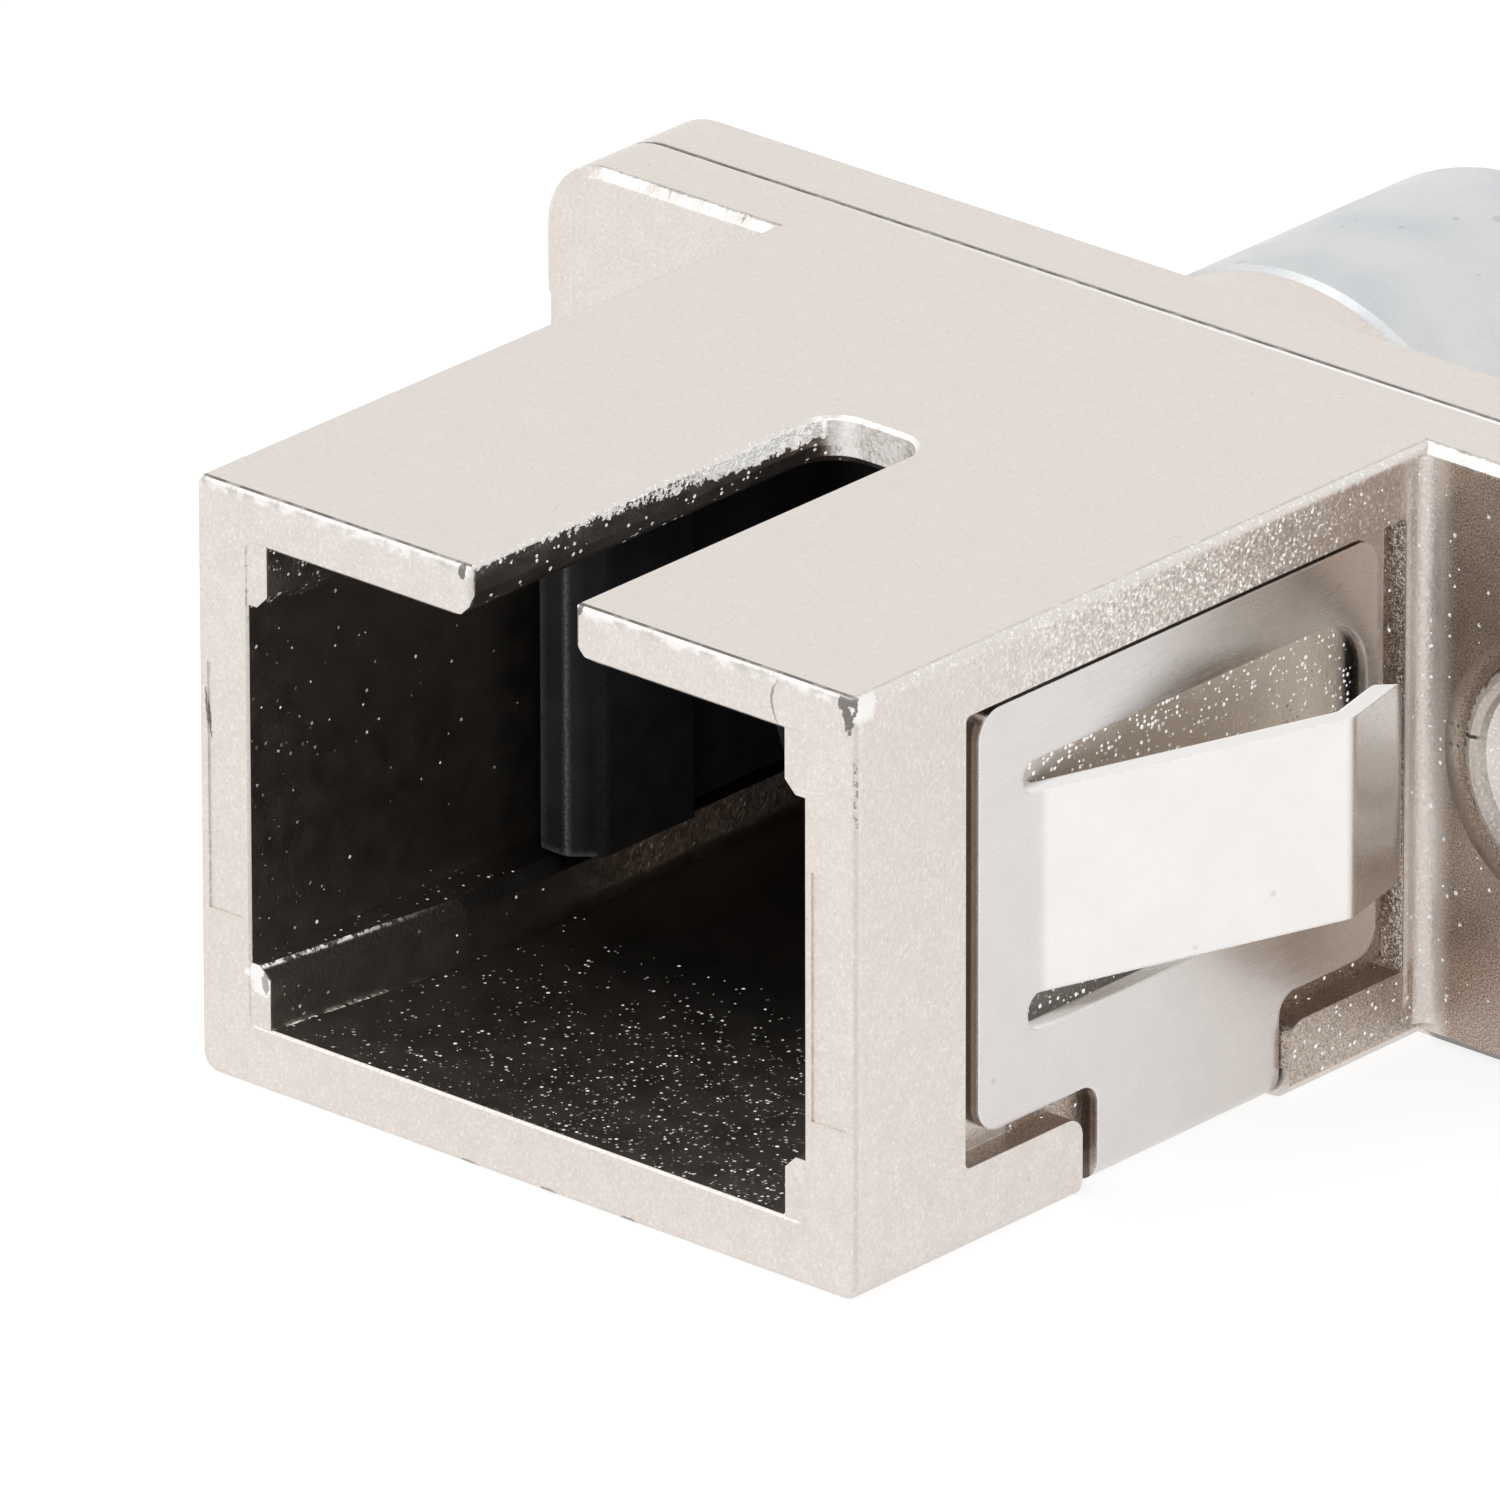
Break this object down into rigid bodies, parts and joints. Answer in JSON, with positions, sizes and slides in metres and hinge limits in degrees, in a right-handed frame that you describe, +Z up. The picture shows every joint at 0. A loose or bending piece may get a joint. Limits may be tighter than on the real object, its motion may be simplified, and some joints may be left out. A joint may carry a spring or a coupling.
{
  "type": "hybrid fibre optic adapter",
  "caption": "Cast-metal panel adapter that joins a square push-pull fibre plug to a round bayonet one, with a riveted ear flange, a spring clip round the body and an inner alignment sleeve.",
  "frame": {"origin": "on the optical axis, in the front face of the flange, which meets the panel", "axes": "+X across the square port, +Y along the optical axis from the square port to the round one, +Z up towards the key slot"},
  "size_m": [0.022, 0.0226, 0.0095],
  "materials": {
    "nickel_casting": "nickel-plated zinc die casting, satin with fine grain",
    "zinc_barrel": "plain zinc-grey casting, matt",
    "spring_steel": "smooth rolled stainless strip",
    "rivet_nickel": "nickel-plated brass, rolled lip",
    "dark_plastic": "moulded, slightly glossy",
    "white_ceramic": "polished zirconia ceramic"
  },
  "bodies": {
    "root": {"sc_housing": "nickel_casting", "rear_flange": "nickel_casting", "bayonet_barrel": "zinc_barrel", "spring_clip": "spring_steel", "flange_rivets": "rivet_nickel", "inner_latch": "dark_plastic", "rear_sleeve_holder": "dark_plastic", "split_sleeve": "white_ceramic"}
  },
  "joints": []
}
